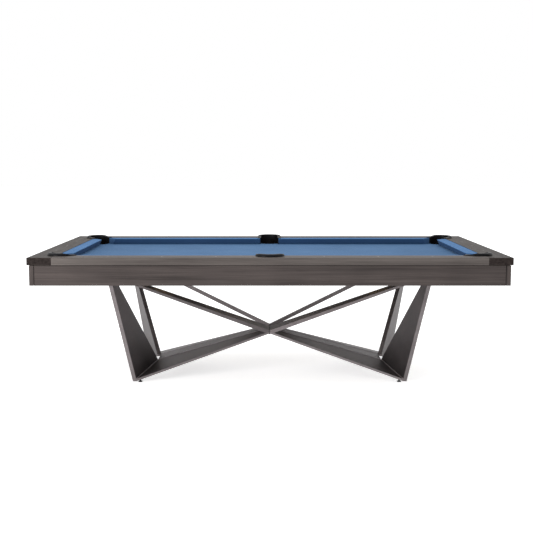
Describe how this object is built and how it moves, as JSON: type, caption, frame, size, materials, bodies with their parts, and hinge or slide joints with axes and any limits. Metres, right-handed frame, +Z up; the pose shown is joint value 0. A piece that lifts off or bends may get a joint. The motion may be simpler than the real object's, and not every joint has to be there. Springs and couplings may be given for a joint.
{
  "type": "pool table",
  "caption": "Cloth-topped pool table with flush rails, drop pockets and a folded steel plate base on levelling feet.",
  "frame": {"origin": "on the floor under the centre of the bed", "axes": "+X along the length to the right, +Y across to the rear, +Z up"},
  "size_m": [2.63, 1.513, 0.7875],
  "materials": {
    "stained_wood": "satin grey-brown stained wood grain",
    "frame_timber": "bare structural timber",
    "cushion_rubber": "moulded cushion rubber under the cloth",
    "honed_slate": null,
    "billiard_cloth": "worsted blue-grey billiard cloth",
    "pocket_plastic": "satin black moulded pocket liner",
    "cup_plastic": "matte black moulded cup",
    "base_steel": "satin gunmetal steel plate",
    "foot_rubber": "black levelling foot",
    "sight_inlay": "round pale inlays",
    "zinc_steel": "zinc plated fasteners and brackets"
  },
  "bodies": {
    "table": {"apron_brackets": "zinc_steel", "arm_front_left": "base_steel", "arm_front_right": "base_steel", "arm_rear_left": "base_steel", "arm_rear_right": "base_steel", "base_bolts": "zinc_steel", "bed_cloth": "billiard_cloth", "corner_pocket_cup_front_left": "cup_plastic", "corner_pocket_cup_front_right": "cup_plastic", "corner_pocket_cup_rear_left": "cup_plastic", "corner_pocket_cup_rear_right": "cup_plastic", "corner_pocket_liner_front_left": "pocket_plastic", "corner_pocket_liner_front_right": "pocket_plastic", "corner_pocket_liner_rear_left": "pocket_plastic", "corner_pocket_liner_rear_right": "pocket_plastic", "corner_trim_front_left": "stained_wood", "corner_trim_front_right": "stained_wood", "corner_trim_rear_left": "stained_wood", "corner_trim_rear_right": "stained_wood", "cross_beams": "frame_timber", "end_apron_left": "stained_wood", "end_apron_right": "stained_wood", "end_cushion_left": "cushion_rubber", "end_cushion_right": "cushion_rubber", "end_rail_left": "stained_wood", "end_rail_right": "stained_wood", "foot_plate_left": "base_steel", "foot_plate_right": "base_steel", "leg_front_left": "base_steel", "leg_front_right": "base_steel", "leg_rear_left": "base_steel", "leg_rear_right": "base_steel", "long_beam_front": "frame_timber", "long_beam_rear": "frame_timber", "mount_plates": "base_steel", "rail_bolts": "zinc_steel", "side_apron_front": "stained_wood", "side_apron_rear": "stained_wood", "side_cushion_front_left": "cushion_rubber", "side_cushion_front_right": "cushion_rubber", "side_cushion_rear_left": "cushion_rubber", "side_cushion_rear_right": "cushion_rubber", "side_pocket_cup_front": "cup_plastic", "side_pocket_cup_rear": "cup_plastic", "side_pocket_liner_front": "pocket_plastic", "side_pocket_liner_rear": "pocket_plastic", "side_rail_front": "stained_wood", "side_rail_rear": "stained_wood", "sights": "sight_inlay", "slate_centre": "honed_slate", "slate_left": "honed_slate", "slate_right": "honed_slate", "slate_screws": "zinc_steel"},
    "levelling_foot_front_left": {"levelling_foot_front_left": "foot_rubber"},
    "levelling_foot_front_right": {"levelling_foot_front_right": "foot_rubber"},
    "levelling_foot_rear_left": {"levelling_foot_rear_left": "foot_rubber"},
    "levelling_foot_rear_right": {"levelling_foot_rear_right": "foot_rubber"}
  },
  "joints": [
    {"name": "levelling_foot_front_left_screw", "type": "slide", "parent": "table", "child": "levelling_foot_front_left", "axis": [0, 0, -1], "range_m": [0, 0.005]},
    {"name": "levelling_foot_front_right_screw", "type": "slide", "parent": "table", "child": "levelling_foot_front_right", "axis": [0, 0, -1], "range_m": [0, 0.005]},
    {"name": "levelling_foot_rear_left_screw", "type": "slide", "parent": "table", "child": "levelling_foot_rear_left", "axis": [0, 0, -1], "range_m": [0, 0.005]},
    {"name": "levelling_foot_rear_right_screw", "type": "slide", "parent": "table", "child": "levelling_foot_rear_right", "axis": [0, 0, -1], "range_m": [0, 0.005]}
  ]
}
